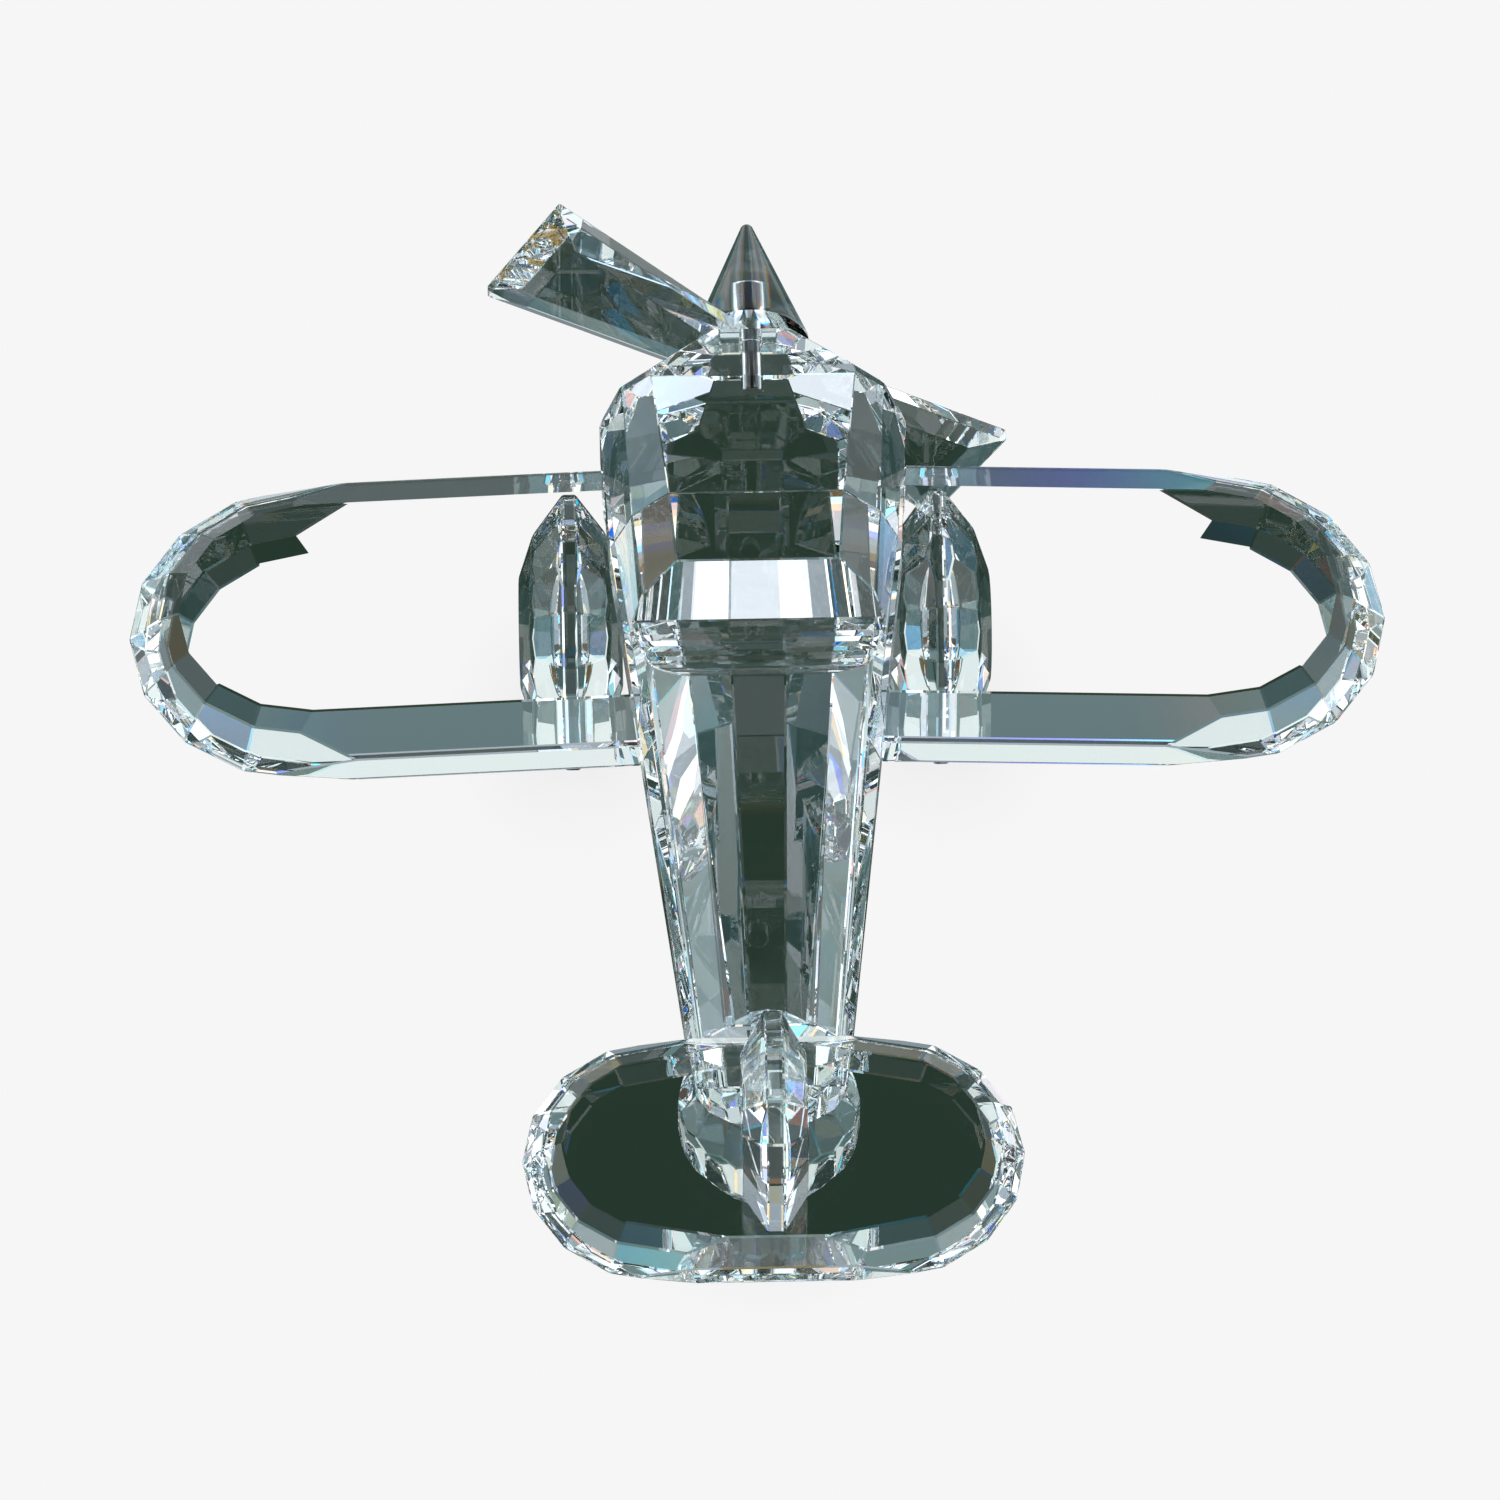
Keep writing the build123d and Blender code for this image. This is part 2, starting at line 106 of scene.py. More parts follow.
def add(
    tree: bpy.types.NodeTree, kind: str, options: dict[str, str | int] | None = None, **inputs: Setting
) -> bpy.types.Node:
    """Add one node, set its options and fill or link its inputs.

    Args:
        tree: The node tree that takes the node.
        kind: Blender's name for the node type, which may leave out "ShaderNode".
        options: The node's own properties, by name.
        **inputs: What each input takes, by input name with "_" for a space, or by position as "i0",
            "i1" and so on. It is a value, a socket to link, or a node whose first output in use is
            linked.

    Returns:
        The new node.
    """
    node = tree.nodes.new(kind if "Node" in kind else f"ShaderNode{kind}")
    for name, value in (options or {}).items():
        setattr(node, name, value)
    for name, value in inputs.items():
        by_place = name[0] == "i" and name[1:].isdigit()
        socket = node.inputs[int(name[1:])] if by_place else node.inputs[name.replace("_", " ")]
        if isinstance(value, bpy.types.Node):
            value = next(output for output in value.outputs if output.enabled)
        if isinstance(value, bpy.types.NodeSocket):
            tree.links.new(value, socket)
        elif socket.type == "RGBA":
            socket.default_value = (*value, 1.0)
        else:
            socket.default_value = value
    return node


def bare_material(name: str) -> bpy.types.Material:
    """Start a material with no nodes in it.

    Args:
        name: The material's name.

    Returns:
        The material.
    """
    material = bpy.data.materials.new(name)
    material.use_nodes = True
    material.node_tree.nodes.clear()
    return material


class Stone(Enum):
    """How a stone's broad faces are taken."""

    SOLID = "solid"
    WINDOW = "window"


@dataclass(frozen=True)
class CutCrystal:
    """Lead crystal, cut on a wheel and polished, which gives clear depth and crisp facets."""

    name: str = "cut_lead_crystal"
    stone: Stone = Stone.SOLID
    tint: str = "fafdfc"
    ior: float = 1.56
    lap_mm: float = 2.4  # spacing of the faint waves that the lap leaves
    lap_stretch: tuple[float, float, float] = (0.25, 1.0, 1.0)  # they are four times as long along the span
    lap_detail: float = 2.0
    lap_roughness: float = 0.4
    lap_depth_mm: float = 0.0004
    lap_strength: float = 0.5
    scratch_mm: float = 0.35  # spacing of hairline scratches, drawn coarse enough to show
    scratch_turn: tuple[float, float, float] = (0.3, 0.2, 0.9)  # radians, so that they lie askew
    scratch_stretch: tuple[float, float, float] = (1.0, 0.05, 0.3)
    scratch_detail: float = 1.0
    scratch_span: Span = (0.70, 0.8)  # the noise's highest part alone makes a scratch
    scratch_roughness: float = 0.012
    window_cosine: float = 0.95  # faces nearer level than this are the polished tables
    underside_cosine: float = -0.3
    straight_sine: float = 0.06  # faces that lean less than this towards a tip lie along the straight edges
    mirror_from: float = 0.35  # how far from head-on a table begins to mirror
    mirror_most: float = 0.8  # its share at a grazing look

    def polish(self, tree: bpy.types.NodeTree) -> tuple[bpy.types.Node, bpy.types.Node]:
        """Draw the lap's waves and the hairline scratches.

        Args:
            tree: The material's node tree.

        Returns:
            The roughness and the normal.
        """
        place = add(tree, "TexCoord").outputs["Object"]
        along = add(tree, "Mapping", i0=place, Scale=self.lap_stretch)
        waves = add(
            tree, "TexNoise", i0=along, Scale=1 / (self.lap_mm * MM), Detail=self.lap_detail,
            Roughness=self.lap_roughness,
        )
        askew = add(tree, "Mapping", i0=place, Rotation=self.scratch_turn, Scale=self.scratch_stretch)
        hairs = add(tree, "TexNoise", i0=askew, Scale=1 / (self.scratch_mm * MM), Detail=self.scratch_detail)
        none, full = self.scratch_span
        haze = add(
            tree, "MapRange", Value=hairs, From_Min=none, From_Max=full, To_Min=0.0,
            To_Max=self.scratch_roughness,
        )
        normal = add(
            tree, "Bump", Strength=self.lap_strength, Distance=self.lap_depth_mm * MM, Height=waves
        )
        return haze, normal

    def build(self) -> bpy.types.Material:
        """Make the material.

        Returns:
            A clear glass, or one whose tables and underside show what is behind them unbent.
        """
        material = bare_material(f"{self.name}_{self.stone.value}")
        tree = material.node_tree
        roughness, normal = self.polish(tree)
        glass = add(
            tree, "BsdfPrincipled", Base_Color=linear(self.tint), Roughness=roughness, IOR=self.ior,
            Transmission_Weight=1.0, Normal=normal,
        )
        surface = glass if self.stone is Stone.SOLID else self.window(tree, glass)
        add(tree, "OutputMaterial", Surface=surface)
        return material

    def window(self, tree: bpy.types.NodeTree, glass: bpy.types.Node) -> bpy.types.Node:
        """Let the eye look straight through the tables and the underside, as parallel faces do.

        Light on its way through the stones meets plain glass here too.

        Args:
            tree: The material's node tree.
            glass: The shader of the bevels and edges.

        Returns:
            The whole stone's shader.
        """
        geometry = add(tree, "NewGeometry")
        normal = add(tree, "SeparateXYZ", i0=geometry.outputs["True Normal"])
        # 1 on a face seen from outside and -1 from inside, where Blender turns the normal round
        outward = add(
            tree, "Math", {"operation": "MULTIPLY_ADD"}, i0=geometry.outputs["Backfacing"], i1=-2.0, i2=1.0
        )
        facing_up = add(tree, "Math", {"operation": "MULTIPLY"}, i0=normal.outputs["Z"], i1=outward)
        level = add(tree, "Math", {"operation": "GREATER_THAN"}, i0=facing_up, i1=self.window_cosine)
        below = add(tree, "Math", {"operation": "LESS_THAN"}, i0=facing_up, i1=self.underside_cosine)
        lean = add(tree, "Math", {"operation": "ABSOLUTE"}, i0=normal.outputs["X"])
        straight = add(tree, "Math", {"operation": "LESS_THAN"}, i0=lean, i1=self.straight_sine)
        straight_below = add(tree, "Math", {"operation": "MULTIPLY"}, i0=below, i1=straight)
        open_share = add(tree, "Math", {"operation": "MAXIMUM"}, i0=level, i1=straight_below)
        through = add(tree, "BsdfTransparent", Color=linear("ffffff"))
        slant = add(tree, "LayerWeight", Blend=SLANT_BLEND).outputs["Facing"]
        mirrored = add(
            tree, "MapRange", Value=slant, From_Min=self.mirror_from, From_Max=1.0, To_Max=self.mirror_most
        )
        mirror = add(tree, "BsdfGlossy", Color=linear("ffffff"), Roughness=0.0)
        clear = add(tree, "MixShader", i0=mirrored, i1=through, i2=mirror)
        window = add(tree, "MixShader", i0=open_share, i1=glass, i2=clear)
        seen = add(tree, "LightPath").outputs["Is Camera Ray"]
        return add(tree, "MixShader", i0=seen, i1=glass, i2=window)


@dataclass(frozen=True)
class TurnedMetal:
    """Metal turned on a lathe, which gives a soft mirror with rings round it and faint stains."""

    name: str
    colour: str
    roughness: float
    ring_mm: float  # spacing of the tool rings, drawn coarse enough to show
    ring_depth_mm: float = 0.01
    ring_strength: float = 0.25
    ring_waver: float = 0.4
    ring_detail: float = 1.0
    stain_mm: float = 0.8
    stain_detail: float = 3.0
    stain_shade: float = 0.78  # share of the colour's light that the darkest stain leaves
    roughness_span: Span = (0.7, 1.4)  # the roughness runs over this range of its mean

    def build(self) -> bpy.types.Material:
        """Make the material.

        Returns:
            A metal with tool rings along the propeller's line.
        """
        material = bare_material(self.name)
        tree = material.node_tree
        place = add(tree, "TexCoord").outputs["Object"]
        rings = add(
            tree, "TexWave", {"bands_direction": "Y"}, i0=place,
            Scale=2 * math.pi / (self.ring_mm * MM) / WAVE_RADIANS, Distortion=self.ring_waver,
            Detail=self.ring_detail,
        ).outputs["Fac"]
        stain = add(tree, "TexNoise", i0=place, Scale=1 / (self.stain_mm * MM), Detail=self.stain_detail)
        shade = add(
            tree, "Mix", {"data_type": "RGBA"}, i0=stain, A=linear(self.colour),
            B=scaled(self.colour, self.stain_shade),
        )
        smoothest, roughest = self.roughness_span
        rough = add(
            tree, "MapRange", Value=stain, To_Min=self.roughness * smoothest, To_Max=self.roughness * roughest
        )
        normal = add(
            tree, "Bump", Strength=self.ring_strength, Distance=self.ring_depth_mm * MM, Height=rings
        )
        metal = add(
            tree, "BsdfPrincipled", Base_Color=shade, Metallic=1.0, Roughness=rough, Normal=normal
        )
        add(tree, "OutputMaterial", Surface=metal)
        return material


@dataclass(frozen=True)
class PlatedSteel(TurnedMetal):
    """Steel wire, turned and nickel plated, which gives a dark warm mirror with rings round it."""

    name: str = "plated_steel"
    colour: str = "4d4c47"
    roughness: float = 0.3
    ring_mm: float = 0.754


@dataclass(frozen=True)
class TurnedBrass(TurnedMetal):
    """Brass, turned on a lathe, which gives a yellow metal with tool rings."""

    name: str = "turned_brass"
    colour: str = "d9b56a"
    roughness: float = 0.24
    ring_mm: float = 1.005


@dataclass(frozen=True)
class PunchedNylon:
    """Nylon sheet, punched into washers, which gives a milky, slightly glossy white."""

    name: str = "punched_nylon"
    colour: str = "e8ebe8"
    grain_mm: float = 0.2
    grain_depth_mm: float = 0.01
    grain_strength: float = 0.15
    roughness_span: Span = (0.3, 0.5)
    milkiness: float = 0.3  # how much of the light goes in before it comes back
    milk_mm: float = 0.4  # how far it goes

    def build(self) -> bpy.types.Material:
        """Make the material.

        Returns:
            A milky plastic with a fine grain.
        """
        material = bare_material(self.name)
        tree = material.node_tree
        place = add(tree, "TexCoord").outputs["Object"]
        grain = add(tree, "TexNoise", i0=place, Scale=1 / (self.grain_mm * MM))
        smoothest, roughest = self.roughness_span
        rough = add(tree, "MapRange", Value=grain, To_Min=smoothest, To_Max=roughest)
        normal = add(
            tree, "Bump", Strength=self.grain_strength, Distance=self.grain_depth_mm * MM, Height=grain
        )
        nylon = add(
            tree, "BsdfPrincipled", Base_Color=linear(self.colour), Roughness=rough,
            Subsurface_Weight=self.milkiness, Subsurface_Radius=(self.milk_mm * MM,) * 3, Normal=normal,
        )
        add(tree, "OutputMaterial", Surface=nylon)
        return material


def flat_facets() -> bpy.types.NodeTree:
    """Make the geometry nodes that keep every facet dead flat, as a lap leaves it.

    Returns:
        The node group.
    """
    group = bpy.data.node_groups.new("flat_facets", "GeometryNodeTree")
    for side in ("INPUT", "OUTPUT"):
        group.interface.new_socket("Geometry", in_out=side, socket_type="NodeSocketGeometry")
    shape = add(group, "NodeGroupInput")
    flat = add(
        group, "GeometryNodeSetMeshNormal", {"mode": "SHARPNESS"}, Mesh=shape, Remove_Custom=True,
        Face_Sharpness=True,
    )
    add(group, "NodeGroupOutput", i0=flat)
    return group


@dataclass
class FacetedStones:
    """The stones whose shape the frame already holds: each gets a polished arris and its crystal."""

    arris_mm: float = 0.09
    weld_mm: float = 0.0005
    coplanar_degrees: float = 0.3  # triangles that lie this near one plane become one facet
    sharp_degrees: float = 8.0  # edges sharper than this get an arris
    glue_film_mm: float = 0.008  # each stone stands back this far, so that a glued joint mirrors a little
    flat: bpy.types.NodeTree = field(default_factory=flat_facets)

    def finish(self, name: str, crystal: bpy.types.Material) -> bpy.types.Object:
        """Dress one stone.

        Args:
            name: The stone's node.
            crystal: Its material.

        Returns:
            The stone.
        """
        stone = frame["nodes"][name]
        for slot in stone.material_slots:
            slot.material = crystal
        if not stone.material_slots:
            stone.data.materials.append(crystal)
        flat = stone.modifiers.new("flat_facets", "NODES")
        flat.node_group = self.flat
        weld = stone.modifiers.new("weld", "WELD")
        weld.merge_threshold = self.weld_mm * MM
        join = stone.modifiers.new("join_coplanar", "DECIMATE")
        join.decimate_type = "DISSOLVE"
        join.angle_limit = math.radians(self.coplanar_degrees)
        arris = stone.modifiers.new("arris", "BEVEL")
        arris.width = self.arris_mm * MM
        arris.segments = 1
        arris.limit_method = "ANGLE"
        arris.angle_limit = math.radians(self.sharp_degrees)
        film = stone.modifiers.new("glue_film", "DISPLACE")
        film.mid_level = 0.0
        film.strength = -self.glue_film_mm * MM
        return stone


@dataclass
class SpinLine:
    """The line that the propeller turns on, and where the turned pieces lie along it."""

    start: Vector
    way: Vector
    crease_degrees: float = 30.0  # edges of a turned piece that are sharper than this stay crisp

    @classmethod
    def from_frame(cls) -> SpinLine:
        """Read the line from the propeller's joint."""
        joint = next(j for j in frame["joints"] if j["name"] == "propeller_spin")
        return cls(Vector(joint["pos_m"]), Vector(joint["axis"]).normalized())

    def reach(self, name: str) -> tuple[float, float, float, float]:
        """Measure a round node about the line.

        Args:
            name: The node.

        Returns:
            Its lowest and highest station along the line, and its inner and outer radius.
        """
        stations, radii = [], []
        for vertex in frame["nodes"][name].data.vertices:
            offset = vertex.co - self.start
            station = offset.dot(self.way)
            stations.append(station)
            radii.append((offset - self.way * station).length)
        return min(stations), max(stations), min(radii), max(radii)

    def lathe(self, name: str, profile: list[tuple[float, float]], steps: int = 96) -> bpy.types.Object:
        """Turn a closed or axis-to-axis profile into a smooth round piece.

        Args:
            name: The piece's name.
            profile: Station and radius of each point, with 0 radius where it meets the line.
            steps: Points round the piece.

        Returns:
            The piece.
        """
        turn = Vector((0, 1, 0)).rotation_difference(self.way).to_matrix().to_4x4()
        place = Matrix.Translation(self.start) @ turn
        points, rings = [], []
        for station, radius in profile:
            count = steps if radius > 0 else 1
            rings.append(range(len(points), len(points) + count))
            for step in range(count):
                angle = 2 * math.pi * step / steps
                points.append(place @ Vector((radius * math.cos(angle), station, radius * math.sin(angle))))
        faces = []
        closed = profile[0][1] > 0
        pairs = list(zip(rings, rings[1:])) + ([(rings[-1], rings[0])] if closed else [])
        for low, high in pairs:
            for step in range(steps):
                after = (step + 1) % steps
                corners = [
                    low[step % len(low)], high[step % len(high)],
                    high[after % len(high)], low[after % len(low)],
                ]
                faces.append(list(dict.fromkeys(corners)))
        mesh = bpy.data.meshes.new(name)
        mesh.from_pydata(points, [], faces)
        mesh.validate()
        piece = bpy.data.objects.new(name, mesh)
        bpy.context.scene.collection.objects.link(piece)
        mesh.shade_smooth()
        mesh.set_sharp_from_angle(angle=math.radians(self.crease_degrees))
        return piece


@dataclass
class NoseAndPin:
    """The spinner, the pin that it is glued to, and the bush and washers that the propeller runs on."""

    line: SpinLine
    chamfer_mm: float = 0.08
    chamfer_share: float = 0.25  # a ring's chamfer takes no more of its height or wall than this
    pin_chamfer_mm: float = 0.16
    glue_mm: float = 0.01  # gap between the pin and the spinner's bore
    land_mm: float = 0.35
    tip_mm: float = 0.45  # radius of the spinner's blunted point
    tip_steps: int = 6

    def ring(self, name: str, node: str) -> bpy.types.Object:
        """Turn a plain ring with chamfered corners in a node's place.

        Args:
            name: The piece's name.
            node: The node that it stands for.

        Returns:
            The ring.
        """
        low, high, inner, outer = self.line.reach(node)
        cut = min(self.chamfer_mm * MM, self.chamfer_share * min(high - low, outer - inner))
        profile = [
            (low, inner + cut), (low + cut, inner), (high - cut, inner), (high, inner + cut),
            (high, outer - cut), (high - cut, outer), (low + cut, outer), (low, outer - cut),
        ]
        return self.place(self.line.lathe(name, profile), node)

    def pin(self) -> bpy.types.Object:
        """Turn the pin with a chamfer at each end.

        Returns:
            The pin.
        """
        low, high, _, radius = self.line.reach("propeller_pin")
        cut = self.pin_chamfer_mm * MM
        profile = [
            (low, 0.0), (low, radius - cut), (low + cut, radius),
            (high - cut, radius), (high, radius - cut), (high, 0.0),
        ]
        return self.place(self.line.lathe("turned_pin", profile), "propeller_pin")

    def spinner(self) -> bpy.types.Object:
        """Grind the cone: a short land, a straight flank, a blunted point and a blind bore.

        Returns:
            The spinner.
        """
        low, high, _, radius = self.line.reach("nose_cone")
        _, pin_end, _, pin_radius = self.line.reach("propeller_pin")
        bore = pin_radius + self.glue_mm * MM
        tip = self.tip_mm * MM
        slope = math.atan2(radius, high - low)
        centre = high - tip
        land = low + self.land_mm * MM
        profile = [(pin_end, 0.0), (pin_end, bore), (low, bore), (low, radius), (land, radius)]
        for step in range(self.tip_steps):
            angle = slope + (math.pi / 2 - slope) * step / self.tip_steps
            profile.append((centre + tip * math.sin(angle), tip * math.cos(angle)))
        profile.append((high, 0.0))
        return self.place(self.line.lathe("spinner", profile), "nose_cone")

    def place(self, piece: bpy.types.Object, node: str) -> bpy.types.Object:
        """Let a turned piece stand for its node and ride on the node's body.

        Args:
            piece: The piece.
            node: The node.

        Returns:
            The same piece.
        """
        bodies = frame["record"]["behaviour"]["bodies"]
        body = next(name for name, members in bodies.items() if node in members)
        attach(piece, body)
        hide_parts(node)
        return piece

    def build(self, crystal: bpy.types.Material) -> list[bpy.types.Object]:
        """Make and dress every turned piece.

        Args:
            crystal: The spinner's material.

        Returns:
            The pieces.
        """
        dressed = [
            (self.spinner(), crystal),
            (self.pin(), PlatedSteel().build()),
            (self.ring("bush", "propeller_bush"), TurnedBrass().build()),
            (self.ring("washer_rear", "rear_washer"), PunchedNylon().build()),
        ]
        dressed.append((self.ring("washer_front", "front_washer"), dressed[-1][1]))
        for piece, material in dressed:
            piece.data.materials.append(material)
        return [piece for piece, _ in dressed]


@dataclass(frozen=True)
class LightBox:
    """A bright patch of the studio as the stones see it, with edges that part into colours.

    Its place and half width are in degrees, and its azimuth turns from the ornament's nose.
    """

    azimuth: float
    elevation: float
    half_width: float
    brightness: float
    soft: float = 1.5

    def axis(self) -> tuple[float, float, float]:
        """Work out where the box lies.

        Returns:
            The unit vector towards it.
        """
        azimuth, elevation = math.radians(self.azimuth), math.radians(self.elevation)
        level = math.cos(elevation)
        return math.sin(azimuth) * level, math.cos(azimuth) * level, math.sin(elevation)

    def rim(self) -> Span:
        """Give the cosines of the angles from the axis at which the box is out and fully bright."""
        return math.cos(math.radians(self.half_width + self.soft)), math.cos(math.radians(self.half_width))


@dataclass(frozen=True)
class Lamp:
    """A soft square lamp, placed in metres from the ornament's middle."""

    name: str
    offset: tuple[float, float, float]
    watts: float
    size: float = 0.3

    def hang(self, middle: Vector) -> None:
        """Place the lamp and turn it to the ornament.

        Args:
            middle: The ornament's middle.
        """
        lamp = bpy.data.lights.new(self.name, "AREA")
        lamp.energy, lamp.size = self.watts, self.size
        holder = bpy.data.objects.new(self.name, lamp)
        bpy.context.scene.collection.objects.link(holder)
        offset = Vector(self.offset)
        holder.location = middle + offset
        holder.rotation_mode = "QUATERNION"
        holder.rotation_quaternion = (-offset).to_track_quat("-Z", "Y")
        holder.visible_glossy = holder.visible_transmission = False


BOXES = (
    LightBox(azimuth=180.0, elevation=72.0, half_width=16.0, brightness=1.6),
    LightBox(azimuth=150.0, elevation=38.0, half_width=9.0, brightness=1.4),
    LightBox(azimuth=215.0, elevation=45.0, half_width=9.0, brightness=1.4),
    LightBox(azimuth=285.0, elevation=52.0, half_width=12.0, brightness=1.6),
    LightBox(azimuth=75.0, elevation=52.0, half_width=12.0, brightness=1.6),
)
LAMPS = (
    Lamp(name="key", offset=(-0.25, -0.2, 0.45), watts=3.0),
    Lamp(name="fill", offset=(0.3, 0.25, 0.3), watts=1.2),
)


@dataclass
class Studio:
    """A plain pale room for the eye. What the stones bend and mirror is a dark card and pale light boxes.

    An edge is a Span: where the light is out, then where it is full. A height is the sine of the
    elevation, and a slant is 1 less the cosine of the angle from head-on.
    """

    pale: str = "f6f6f6"
    card: str = "27382e"
    painted_card_reflection: str = "5e7476"
    painted_reflection_slants: Span = (0.40, 0.66)  # where the painted reflection of the room on the card begins, and where it is full
    beyond_slants: Span = (0.74, 0.80)  # where the pale floor beyond the card begins
    beyond_share: float = 0.8
    room: str = "a2adb6"
    overhead: str = "2b3a35"
    overhead_heights: Span = (0.74, 0.80)
    glow: str = "f1f2fa"
    spread: float = 0.012  # how far red and blue part at an edge, in place of the stones' own dispersion
    panels: int = 9  # tall panels round the room; their edges below are shares of a panel's pitch
    panel_spread: float = 0.027
    panel_start: Span = (0.10, 0.14)
    panel_end: Span = (0.74, 0.70)
    panel_foot: Span = (-0.12, -0.09)
    panel_head: Span = (0.62, 0.58)
    panel_brightness: float = 1.75
    cloud_scale: float = 2.2  # patches of uneven light on the panels, about this many to a radian
    cloud_detail: float = 1.0
    cloud_span: Span = (0.35, 0.65)
    cloud_least: float = 0.6
    slats: int = 30  # bright slats round the sky, which the panels and boxes are cut into
    slat_spread: float = 0.048
    slat_start: Span = (0.0, 0.15)
    slat_end: Span = (0.7, 0.55)
    slat_gap: float = 0.45  # light left in the gaps between slats
    box_spread: float = 0.003
    floor_reach: float = 3.0
    # The floor's colour for the eye has a painted contact shadow: ambient occlusion darkens it near the ornament.
    painted_shade_mm: float = 7.0  # how far from the ornament its soft contact shade reaches; this shade is painted into the floor's colour
    painted_shade_least: float = 0.86
    painted_shade_samples: int = 8
    bounces: int = 40
    transmission_bounces: int = 36
    glossy_bounces: int = 24
    transparent_bounces: int = 24
    brightest_bounce: float = 6.0  # cap on bounced light, against bright specks

    def part(self, tree: bpy.types.NodeTree, value: Setting, spread: float) -> bpy.types.Node:
        """Turn a number into three that differ a little, one each for red, green and blue.

        Args:
            tree: The node tree.
            value: The number's node or socket.
            spread: How far red lies below green, and blue above it.

        Returns:
            The last node.
        """
        same = add(tree, "CombineXYZ", i0=value, i1=value, i2=value)
        return add(tree, "VectorMath", {"operation": "ADD"}, i0=same, i1=(-spread, 0.0, spread))

    def patch(self, tree: bpy.types.NodeTree, *edges: tuple[bpy.types.Node, Span]) -> bpy.types.Node:
        """Make a patch that is 1 within all its edges and eases to 0 across each of them.

        Args:
            tree: The node tree.
            *edges: A parted number and its edge, for each edge.

        Returns:
            The last node.
        """
        eased = []
        for value, (out, full) in edges:
            falling = out > full
            eased.append(add(
                tree, "MapRange", {"data_type": "FLOAT_VECTOR", "interpolation_type": "SMOOTHSTEP"},
                i6=value, i7=(min(out, full),) * 3, i8=(max(out, full),) * 3,
                i9=(float(falling),) * 3, i10=(float(not falling),) * 3,
            ))
        return reduce(
            lambda lit, edge: add(tree, "VectorMath", {"operation": "MULTIPLY"}, i0=lit, i1=edge), eased
        )

    def total(self, tree: bpy.types.NodeTree, *lights: tuple[Setting, ...]) -> Setting:
        """Add up lights, channel by channel.

        Args:
            tree: The node tree.
            *lights: For each light, the colours and patches whose product it is.

        Returns:
            The last node.
        """
        products = [
            reduce(
                lambda lit, mask: add(tree, "VectorMath", {"operation": "MULTIPLY"}, i0=lit, i1=mask), factors
            )
            for factors in lights
        ]
        return reduce(
            lambda lit, more: add(tree, "VectorMath", {"operation": "ADD"}, i0=lit, i1=more), products
        )

    def for_eye_or_stones(self, tree: bpy.types.NodeTree, eye: Setting, stones: Setting) -> bpy.types.Node:
        """Show one colour to the eye and to dull surfaces, and another through and in the stones.

        Args:
            tree: The node tree.
            eye: The colour that the eye sees.
            stones: The colour that the stones bend and mirror.

        Returns:
            The last node.
        """
        paths = add(tree, "LightPath")
        plain = add(
            tree, "Math", {"operation": "MAXIMUM"}, i0=paths.outputs["Is Camera Ray"],
            i1=paths.outputs["Is Diffuse Ray"],
        )
        return add(tree, "Mix", {"data_type": "RGBA"}, i0=plain, A=stones, B=eye)

    def pitches(
        self, tree: bpy.types.NodeTree, turn: bpy.types.Node, count: int, spread: float
    ) -> bpy.types.Node:
        """Divide the round of the room into equal pitches.

        Args:
            tree: The node tree.
            turn: The angle round the room, in radians.
            count: How many pitches there are.
            spread: How far red and blue part, as a share of a pitch.

        Returns:
            The share of its pitch at which each direction lies, parted.
        """
        turns = add(tree, "Math", {"operation": "MULTIPLY"}, i0=turn, i1=count / (2 * math.pi))
        return add(tree, "VectorMath", {"operation": "FRACTION"}, i0=self.part(tree, turns, spread))

    def world(self) -> None:
        """Make the room: pale to the eye, and with panels and boxes to the stones."""
        world = bpy.data.worlds.new("studio")
        bpy.context.scene.world = world
        world.use_nodes = True
        tree = world.node_tree
        tree.nodes.clear()
        way = add(tree, "TexCoord").outputs["Generated"]
        axes = add(tree, "SeparateXYZ", i0=way)
        turn = add(tree, "Math", {"operation": "ARCTAN2"}, i0=axes.outputs["X"], i1=axes.outputs["Y"])
        height = self.part(tree, axes.outputs["Z"], self.spread)

        around = self.pitches(tree, turn, self.panels, self.panel_spread)
        panel = self.patch(
            tree, (around, self.panel_start), (around, self.panel_end),
            (height, self.panel_foot), (height, self.panel_head),
        )
        cloud = add(tree, "TexNoise", i0=way, Scale=self.cloud_scale, Detail=self.cloud_detail)
        low, high = self.cloud_span
        level = add(
            tree, "MapRange", Value=cloud, From_Min=low, From_Max=high, To_Min=self.cloud_least, To_Max=1.0
        )
        levels = add(tree, "CombineXYZ", i0=level, i1=level, i2=level)

        within = self.pitches(tree, turn, self.slats, self.slat_spread)
        slat = self.patch(tree, (within, self.slat_start), (within, self.slat_end))
        slats = self.total(tree, (slat, (1.0 - self.slat_gap,) * 3), ((self.slat_gap,) * 3,))

        lights = [(panel, slats, scaled(self.glow, self.panel_brightness), levels)]
        for box in BOXES:
            near = add(tree, "VectorMath", {"operation": "DOT_PRODUCT"}, i0=way, i1=box.axis())
            rim = self.patch(tree, (self.part(tree, near, self.box_spread), box.rim()))
            lights.append((rim, slats, scaled(self.glow, box.brightness)))
        above = self.patch(tree, (height, self.overhead_heights))
        below = self.patch(tree, (height, self.overhead_heights[::-1]))
        seen = self.total(tree, (above, linear(self.overhead)), (below, linear(self.room)), *lights)
        colour = self.for_eye_or_stones(tree, eye=linear(self.pale), stones=seen)
        add(tree, "OutputWorld", Surface=add(tree, "Background", Color=colour))

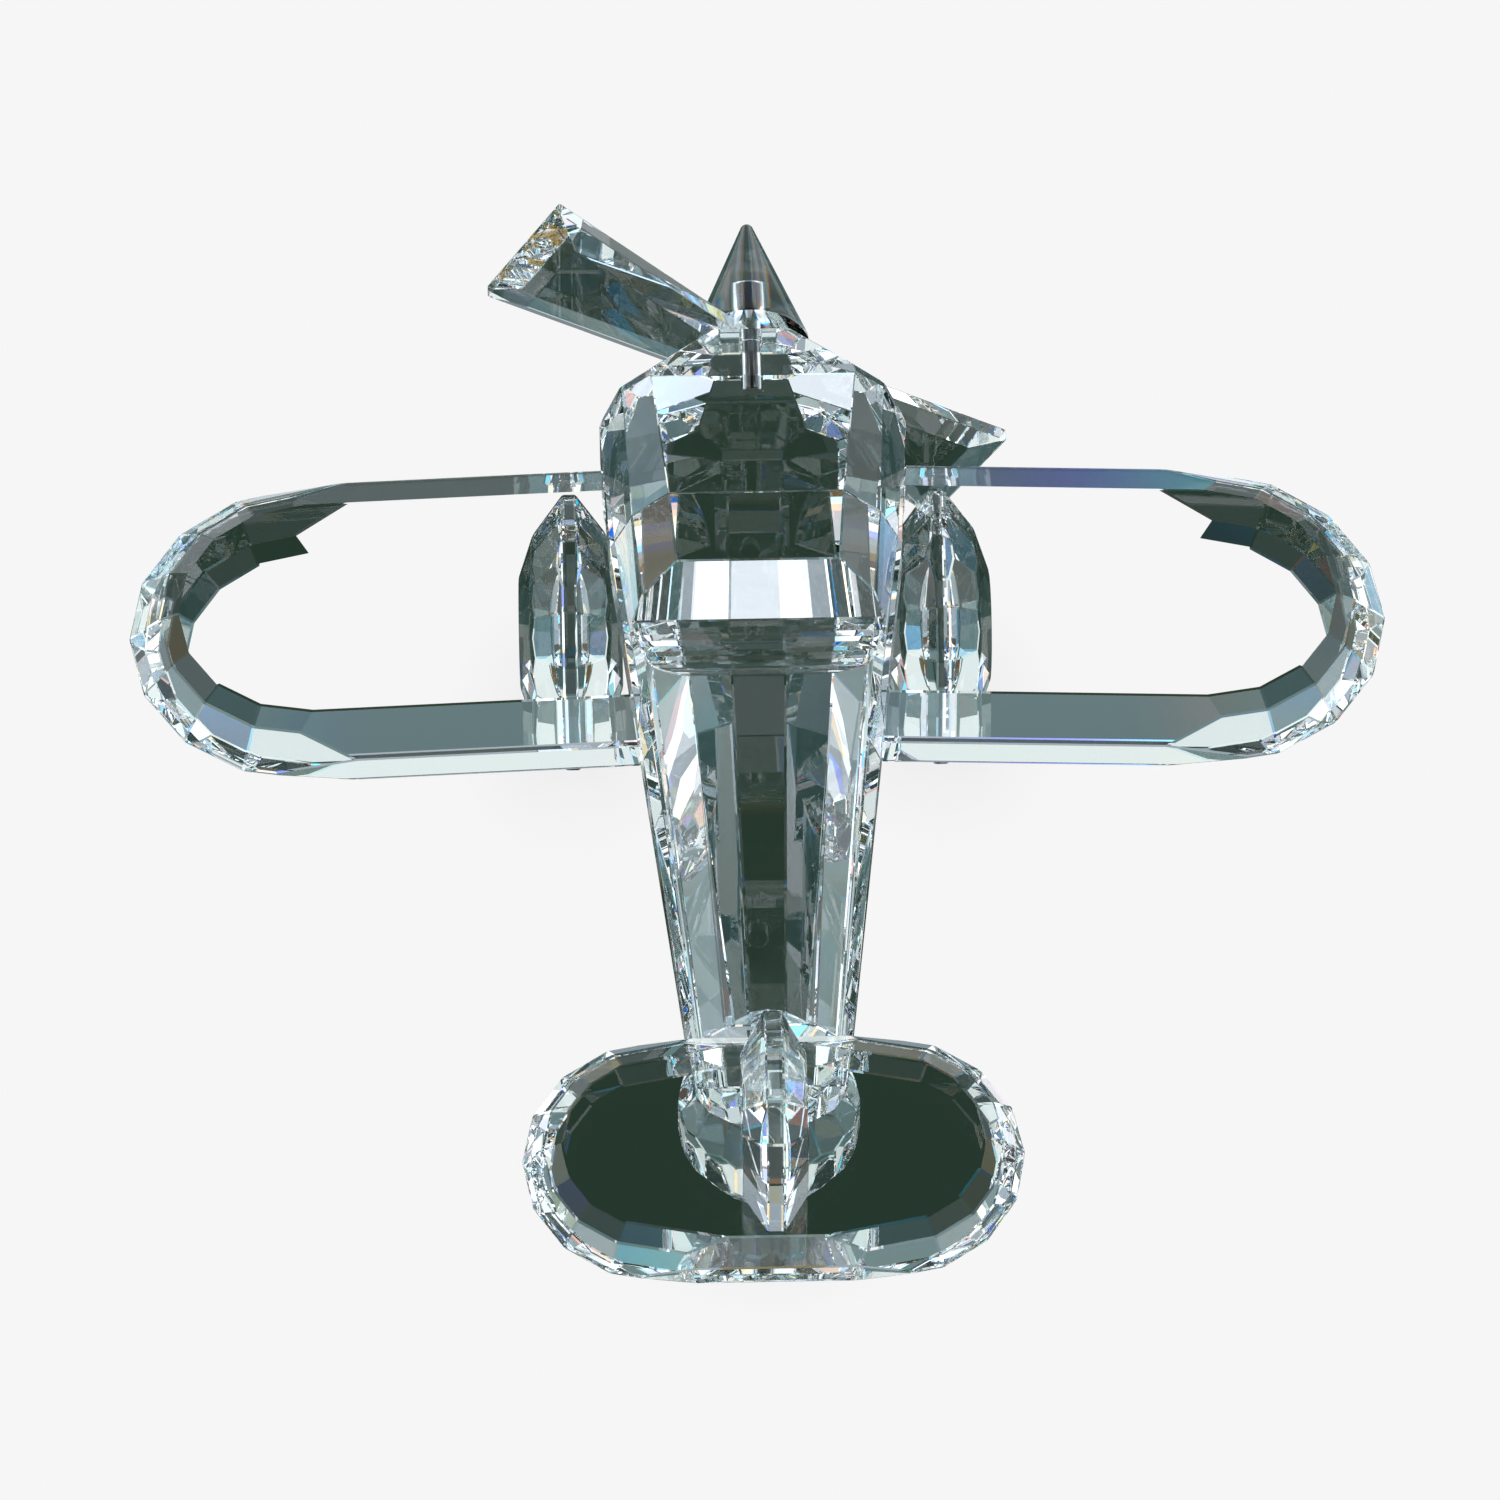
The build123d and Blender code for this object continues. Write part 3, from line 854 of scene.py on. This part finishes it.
    def floor(self) -> None:
        """Lay a plain pale floor with a painted contact shadow round the ornament, which the stones see as a dark
        card, with a painted reflection of the room at a slant and pale floor beyond it.
        """
        half = self.floor_reach
        mesh = bpy.data.meshes.new("floor")
        corners = [(-half, -half, 0), (half, -half, 0), (half, half, 0), (-half, half, 0)]
        mesh.from_pydata(corners, [], [(0, 1, 2, 3)])
        floor = bpy.data.objects.new("floor", mesh)
        bpy.context.scene.collection.objects.link(floor)
        material = bare_material("pale_paper")
        tree = material.node_tree
        slant = add(tree, "LayerWeight", Blend=SLANT_BLEND).outputs["Facing"]
        slants = self.part(tree, slant, self.spread)
        seen = self.total(
            tree,
            (linear(self.card),),
            # painted reflection: at a slant the card's glow gains a lighter colour, as if it mirrored the room
            (self.patch(tree, (slants, self.painted_reflection_slants)), linear(self.painted_card_reflection)),
            (self.patch(tree, (slants, self.beyond_slants)), scaled(self.pale, self.beyond_share)),
        )
        # painted contact shadow: ambient occlusion darkens the floor's own glow near the ornament
        close = add(tree, "AmbientOcclusion", {"samples": self.painted_shade_samples}, Distance=self.painted_shade_mm * MM)
        shade = add(tree, "MapRange", Value=close.outputs["AO"], To_Min=self.painted_shade_least, To_Max=1.0)
        painted_shades = add(tree, "CombineXYZ", i0=shade, i1=shade, i2=shade)
        pale_with_painted_shade = self.total(tree, (painted_shades, linear(self.pale)))
        colour = self.for_eye_or_stones(tree, eye=pale_with_painted_shade, stones=seen)
        add(tree, "OutputMaterial", Surface=add(tree, "Emission", Color=colour))
        mesh.materials.append(material)

    def lamps(self) -> None:
        """Hang the lamps, which light the metal and nylon and stay out of the stones."""
        for lamp in LAMPS:
            lamp.hang((CAD_BOX[0] + CAD_BOX[1]) / 2)

    def settings(self) -> None:
        """Keep true colours and let light pass through many facets."""
        scene = bpy.context.scene
        scene.view_settings.view_transform = "Standard"
        scene.cycles.use_denoising = True
        scene.cycles.max_bounces = self.bounces
        scene.cycles.transmission_bounces = self.transmission_bounces
        scene.cycles.glossy_bounces = self.glossy_bounces
        scene.cycles.transparent_max_bounces = self.transparent_bounces
        scene.cycles.sample_clamp_indirect = self.brightest_bounce

    def build(self) -> None:
        """Set up the room, the floor, the lamps and the render's light settings."""
        self.world()
        self.floor()
        self.lamps()
        self.settings()


@dataclass
class Viewpoint:
    """The camera, behind and above the ornament.

    Its angles are in degrees, its distance and clip in metres, and its lens and sensor in millimetres.
    """

    azimuth: float = -1.3
    elevation: float = 49.3
    distance: float = 0.5
    lens: float = 183.4
    sensor: float = 36.0
    clip: Span = (0.01, 20.0)
    aim_share: float = 0.487  # height of the aim point as a share of the ornament's height
    aim_mm: Span = (-0.75, -1.27)  # where the aim point lies across and along the ornament

    def build(self) -> None:
        """Place the camera and make it the scene's own."""
        lowest, highest = CAD_BOX
        across, along = self.aim_mm
        aim = Vector((across * MM, along * MM, lowest.z + (highest.z - lowest.z) * self.aim_share))
        azimuth, elevation = math.radians(self.azimuth), math.radians(self.elevation)
        level = math.cos(elevation)
        back = Vector((math.sin(azimuth) * level, -math.cos(azimuth) * level, math.sin(elevation)))
        data = bpy.data.cameras.new("view")
        data.lens, data.sensor_width = self.lens, self.sensor
        data.clip_start, data.clip_end = self.clip
        camera = bpy.data.objects.new("view", data)
        bpy.context.scene.collection.objects.link(camera)
        camera.location = aim + back * self.distance
        camera.rotation_mode = "QUATERNION"
        camera.rotation_quaternion = (-back).to_track_quat("-Z", "Y")
        bpy.context.scene.camera = camera


def main() -> None:
    """Build the camera, the studio and every piece."""
    logging.basicConfig(level=logging.INFO, format="%(name)s: %(message)s")
    Viewpoint().build()
    Studio().build()
    solid = CutCrystal().build()
    window = CutCrystal(stone=Stone.WINDOW).build()
    stones = FacetedStones()
    for crystal, names in ((solid, SOLID_STONES), (window, WINDOW_STONES)):
        for name in names:
            log.info("cut and polished %s", stones.finish(name, crystal).name)
    for piece in NoseAndPin(SpinLine.from_frame()).build(solid):
        log.info("turned %s", piece.name)


if __name__ == "__main__":
    main()
